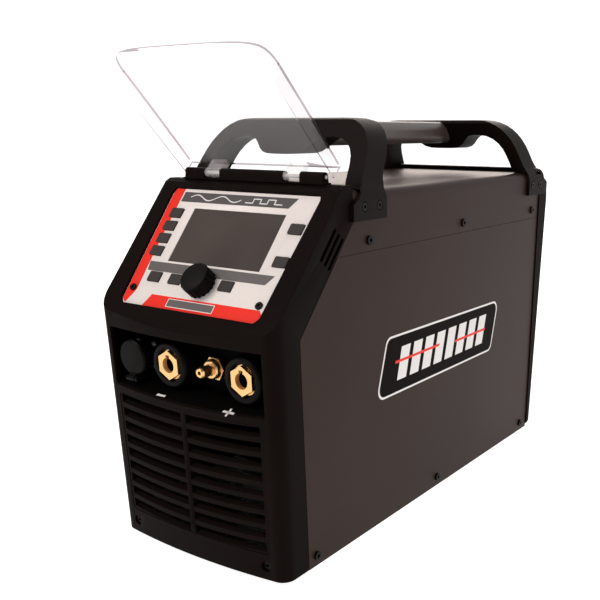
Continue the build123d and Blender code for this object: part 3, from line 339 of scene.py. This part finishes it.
# the edges of the clear sheet catch the light: they take the tinted rim, whose darker tint is painted shade for the
# light the edges bend away
cover_me = eased["clear_cover"].data
cover_me.materials.append(MAT["clear_rim_painted_shade"])
cover_me.materials.append(MAT["clear_clip"])
cover_me.materials.append(MAT["clear_flank_painted_shade"])
hinge = P(0, 66, 321)
for poly in cover_me.polygons:
    pts = [cover_me.vertices[v].co for v in poly.vertices]
    if all(Vector((0, p.y - hinge.y, p.z - hinge.z)).length < 0.0149 for p in pts) and max(abs(p.x) for p in pts) < 0.06:
        poly.material_index = 2
        continue
    wide = max((p - pts[0]).length for p in pts)
    thin = poly.area / max(wide, 1e-6) < 0.0035
    if thin:
        poly.material_index = 1
    # the near-vertical flank faces take a faint tint, painted shade for the light the bent flanks refract
    elif abs(poly.normal.x) > 0.9:
        poly.material_index = 3
# the inside of the two brass bores: duller and warmer than the turned faces, a darker amber that is painted shade and
# painted warm reflection inside the bores
for node in ("dinse_neg_contact", "dinse_pos_contact"):
    me = eased[node].data
    me.materials.append(MAT["brass_bore_painted_shade"])
    xs = [v.co.x for v in me.vertices]
    zs = [v.co.z for v in me.vertices]
    ax, az, fy = (min(xs) + max(xs)) / 2, (min(zs) + max(zs)) / 2, min(v.co.y for v in me.vertices)
    for poly in me.polygons:
        pts = [me.vertices[v].co for v in poly.vertices]
        if all(Vector((q.x - ax, 0, q.z - az)).length < 0.0094 for q in pts) and poly.center.y > fy + 0.0007:
            poly.material_index = len(me.materials) - 1
for node, ob in nodes.items():
    mat = MAT[SLOT_OF[node]]
    ob.data.materials.clear()
    ob.data.materials.append(mat)

# ------------------------------------------------------------------ printed control face
D = 26.52
T = 0.08
decal("print_stripe_left", [(-83.3, 113.6), (-71.2, 113.6), (-70.2, 60), (-67.3, 10.0), (-69.5, 4.0), (-73.5, -4.4), (-78.4, -0.8)], D, D + T, MAT["print_red"])
decal("print_title_band", [(-69.5, 100.4), (-69.7, 110.6), (60.5, 110.6), (54.5, 100.4)], D, D + T, MAT["print_grey"])
decal("print_key_bar", [(-66.5, 29.0), (-68.3, 38.0), (73.5, 38.0), (67.5, 29.0)], D, D + T, MAT["print_mid"])
decal("print_band_low", [(-52.0, -5.0), (-46.5, 6.8), (74.6, 6.8), (78.3, 2.6), (78.4, -0.8), (74.8, -5.0)], D, D + T, MAT["print_red"])
decal("print_plate_low", [(-25.0, -2.6), (-25.0, 5.2), (28.0, 5.2), (28.0, -2.6)], D + T, D + 2 * T, MAT["print_white"])
decal("print_plate_low_fill", [(-24.2, -1.9), (-24.2, 4.5), (27.2, 4.5), (27.2, -1.9)], D + 2 * T, D + 3 * T, MAT["print_mid"])
# a plain wave sign in the title band
wave = []
for i in range(49):
    t = i / 48
    wave.append((-60 + 60 * t, 105.5 + 2.6 * sin(t * 4 * pi)))
top = [(x, v + 0.55) for x, v in wave]
low = [(x, v - 0.55) for x, v in reversed(wave)]
for i in range(48):
    a, b2 = wave[i], wave[i + 1]
    decal("print_wave_%02d" % i, [(a[0], a[1] - 0.5), (a[0], a[1] + 0.5), (b2[0], b2[1] + 0.5), (b2[0], b2[1] - 0.5)], D + T, D + 2 * T, MAT["print_white"])
step = [(6, 103.4), (14, 103.4), (14, 107.6), (22, 107.6), (22, 103.4), (30, 103.4), (30, 107.6), (38, 107.6), (38, 103.4), (46, 103.4)]
for i in range(len(step) - 1):
    (x0, v0), (x1, v1) = step[i], step[i + 1]
    x0, x1 = min(x0, x1) - 0.5, max(x0, x1) + 0.5
    v0, v1 = min(v0, v1) - 0.5, max(v0, v1) + 0.5
    decal("print_pulse_%d" % i, [(x0, v0), (x0, v1), (x1, v1), (x1, v0)], D + T, D + 2 * T, MAT["print_white"])

# a dark sill closes the gap between the front moulding and the tray: a dark sheet painting the shade that falls in that
# gap
prism("front_gap_painted_shade", [P(x, y, 0.5) for x, y in ((-94, -4), (94, -4), (94, 9), (-94, 9))], [P(x, y, 1.6) for x, y in ((-94, -4), (94, -4), (94, 9), (-94, 9))],
      MAT["recess_plastic"], "machine")

# ------------------------------------------------------------------ bent edges of the clear cover: tinted strips that paint the dark shade line light bent in the flanks makes
def on_cover(x, a, b):
    """a along the cover from its hinge, b away from the control face, as in the CAD"""
    lean = radians(43.5)
    return P(x, 66.0 - sin(lean) * a + cos(lean) * b, 321.0 + cos(lean) * a + sin(lean) * b)


EDGE = [(1.0, 14.3), (28.0, 14.85), (60.0, 15.15), (90.0, 15.15), (97.0, 15.05)]
for sgn, tag in ((1, "right"), (-1, "left")):
    ring = EDGE + [(a, b - 1.9) for a, b in reversed(EDGE)]
    width = [85.05 - 2.15 * (a + 5.0) / 101.0 for a, b in ring]
    prism("cover_edge_painted_shade_" + tag, [on_cover(sgn * (w - 0.6), a, b) for w, (a, b) in zip(width, ring)],
          [on_cover(sgn * (w + 0.04), a, b) for w, (a, b) in zip(width, ring)], MAT["clear_edge_painted_shade"], "cover")

# ------------------------------------------------------------------ signs under the sockets
def on_lip(x, t, h):
    """the sloped lip below the sockets: t from its front edge (0) to its back edge (1), h above it"""
    y, z = -38 + 16 * t, 141 + 8.6 * t
    n = Vector((0, -8.6, 16)).normalized()
    return P(x, y + n.y * h, z + n.z * h)


def lip_bar(name, x0, x1, t0, t1):
    a = [on_lip(x, t, 0.02) for x, t in ((x0, t0), (x1, t0), (x1, t1), (x0, t1))]
    b2 = [on_lip(x, t, 0.17) for x, t in ((x0, t0), (x1, t0), (x1, t1), (x0, t1))]
    return prism(name, a, b2, MAT["print_white"], "machine")


lip_bar("sign_minus", -34.0, -24.0, 0.33, 0.45)
lip_bar("sign_plus_a", 44.0, 56.0, 0.30, 0.42)
lip_bar("sign_plus_b", 49.0, 51.0, 0.12, 0.60)

# ------------------------------------------------------------------ side plates, plain badge with a light outline
def side_plate(sgn):
    tag = "right" if sgn > 0 else "left"
    X = 100.0
    quad = [(121, 180.5), (343.2, 178.4), (328.5, 123.8), (102.8, 123.7)]
    if sgn < 0:
        quad = [(121, 180.5), (343.2, 178.4), (357.9, 123.8), (135.7, 123.7)]

    def rounded(q, inset, r):
        cx = sum(p[0] for p in q) / 4
        cz = sum(p[1] for p in q) / 4
        out = []
        m = len(q)
        for i in range(m):
            p0, p1, p2 = Vector(q[i - 1]), Vector(q[i]), Vector(q[(i + 1) % m])
            d0 = (p0 - p1).normalized()
            d1 = (p2 - p1).normalized()
            half = d0.angle(d1) / 2
            c = p1 + (d0 + d1).normalized() * (inset / sin(half))
            rr = r
            a0 = c + d0 * (rr / math.tan(half))
            a1 = c + d1 * (rr / math.tan(half))
            cc = c + (d0 + d1).normalized() * (rr / sin(half))
            v0, v1 = a0 - cc, a1 - cc
            ang = v0.angle_signed(v1)
            for k in range(7):
                t = k / 6
                rot = Matrix.Rotation(-ang * t, 2)
                out.append(tuple(cc + rot @ v0))
        return out

    def pr(name, ring, h0, h1, mat):
        a = [P(sgn * (X + h0), y, z) for y, z in ring]
        b2 = [P(sgn * (X + h1), y, z) for y, z in ring]
        return prism(name, a, b2, mat, "machine")

    pr("side_badge_rim_" + tag, rounded(quad, 0, 9), 0.02, 0.16, MAT["print_white"])
    pr("side_badge_fill_" + tag, rounded(quad, 2.0, 7.6), 0.16, 0.24, MAT["bezel_plastic"])
    # a row of plain slanting bars with a thin red streak across them
    z0, z1 = 136.5, 167.5
    k = 0.27 * (1 if sgn > 0 else -1)
    first = 137.0 if sgn > 0 else 145.0
    for i in range(8):
        y0, w = first + 22.0 * i, 15.5
        ring = [(y0, z0), (y0 + w, z0), (y0 + w + k * (z1 - z0), z1), (y0 + k * (z1 - z0), z1)]
        pr("side_badge_bar_%d_%s" % (i, tag), ring, 0.24, 0.32, MAT["print_white"])
    for i, (ya, yb, zc) in enumerate(((134, 214, 154.6), (246, 312, 151.4))):
        ring = [(ya, zc - 1.3), (yb, zc - 1.3), (yb + 0.7, zc + 1.3), (ya + 0.7, zc + 1.3)]
        pr("side_badge_streak_%d_%s" % (i, tag), ring, 0.32, 0.40, MAT["print_red"])


side_plate(1)
side_plate(-1)

# ------------------------------------------------------------------ stage
def stage_plane(name, verts, col, rough):
    me = bpy.data.meshes.new(name)
    me.from_pydata(verts, [], [tuple(range(len(verts)))])
    ob = bpy.data.objects.new(name, me)
    link(ob)
    mm, nt2, bb = tree(name)
    bb.inputs["Base Color"].default_value = (*col, 1)
    bb.inputs["Roughness"].default_value = rough
    me.materials.append(mm)
    return ob


floor = stage_plane("floor", [(-60, -60, 0), (60, -60, 0), (60, 60, 0), (-60, 60, 0)], (0.5, 0.5, 0.5), 0.9)
floor_b = floor.data.materials[0].node_tree.nodes["Principled BSDF"]
floor_b.inputs["Emission Color"].default_value = (1, 1, 1, 1)
floor_b.inputs["Emission Strength"].default_value = 0.92
wall = stage_plane("backdrop", [(-60, 9, -1), (60, 9, -1), (60, 9, 40), (-60, 9, 40)], (0.2, 0.2, 0.2), 0.9)
wall_b = wall.data.materials[0].node_tree.nodes["Principled BSDF"]
wall_b.inputs["Emission Color"].default_value = (1, 1, 1, 1)
wall_b.inputs["Emission Strength"].default_value = 1.0
wall_b.inputs["Specular IOR Level"].default_value = 0.0
floor_b.inputs["Specular IOR Level"].default_value = 0.0

world = bpy.data.worlds.new("world") if bpy.context.scene.world is None else bpy.context.scene.world
bpy.context.scene.world = world
world.use_nodes = True
world.node_tree.nodes["Background"].inputs["Color"].default_value = (1.0, 0.93, 0.89, 1)
world.node_tree.nodes["Background"].inputs["Strength"].default_value = 0.22


def area(name, loc, target, size, energy, size_y=None, color=(1, 1, 1)):
    ld = bpy.data.lights.new(name, "AREA")
    ld.energy = energy
    ld.color = color
    ld.shape = "RECTANGLE"
    ld.size = size
    ld.size_y = size_y or size
    ob = bpy.data.objects.new(name, ld)
    ob.location = loc
    d = Vector(target) - Vector(loc)
    ob.rotation_euler = d.to_track_quat("-Z", "Y").to_euler()
    link(ob)
    return ob


area("key", (-1.0, -1.9, 2.3), (0, -0.1, 0.25), 1.4, 55, 1.2, (1.0, 0.96, 0.93))
area("fill", (2.2, -0.9, 0.7), (0, 0, 0.10), 1.4, 9, 1.0, (1.0, 0.93, 0.88))
area("back", (-1.9, 2.9, 1.45), (0, 0.05, 0.3), 2.4, 42, 1.5, (1.0, 0.82, 0.72))

# ------------------------------------------------------------------ camera
az, el, roll = radians(32.91), radians(20.46), radians(0.18)
f, cx, cy = 813.57, 402.24, 431.22
back = Vector((sin(az) * cos(el), -cos(az) * cos(el), sin(el)))
right = Vector((0, 0, 1)).cross(back).normalized()
up = back.cross(right)
r2 = cos(roll) * right + sin(roll) * up
u2 = -sin(roll) * right + cos(roll) * up
cam = bpy.data.cameras.new("camera")
cam.sensor_fit = "HORIZONTAL"
cam.sensor_width = 36.0
cam.lens = f / 600 * 36
cam.shift_x = -(cx - 300) / 600
cam.shift_y = (cy - 300) / 600
cam.clip_start = 0.01
co = bpy.data.objects.new("camera", cam)
M = Matrix((r2, u2, back)).transposed().to_4x4()
M.translation = P(501.54, -473.68, 358.43)
co.matrix_world = M
link(co)
bpy.context.scene.camera = co
vs = bpy.context.scene.view_settings
vs.view_transform = "Standard"
vs.exposure = 0.0
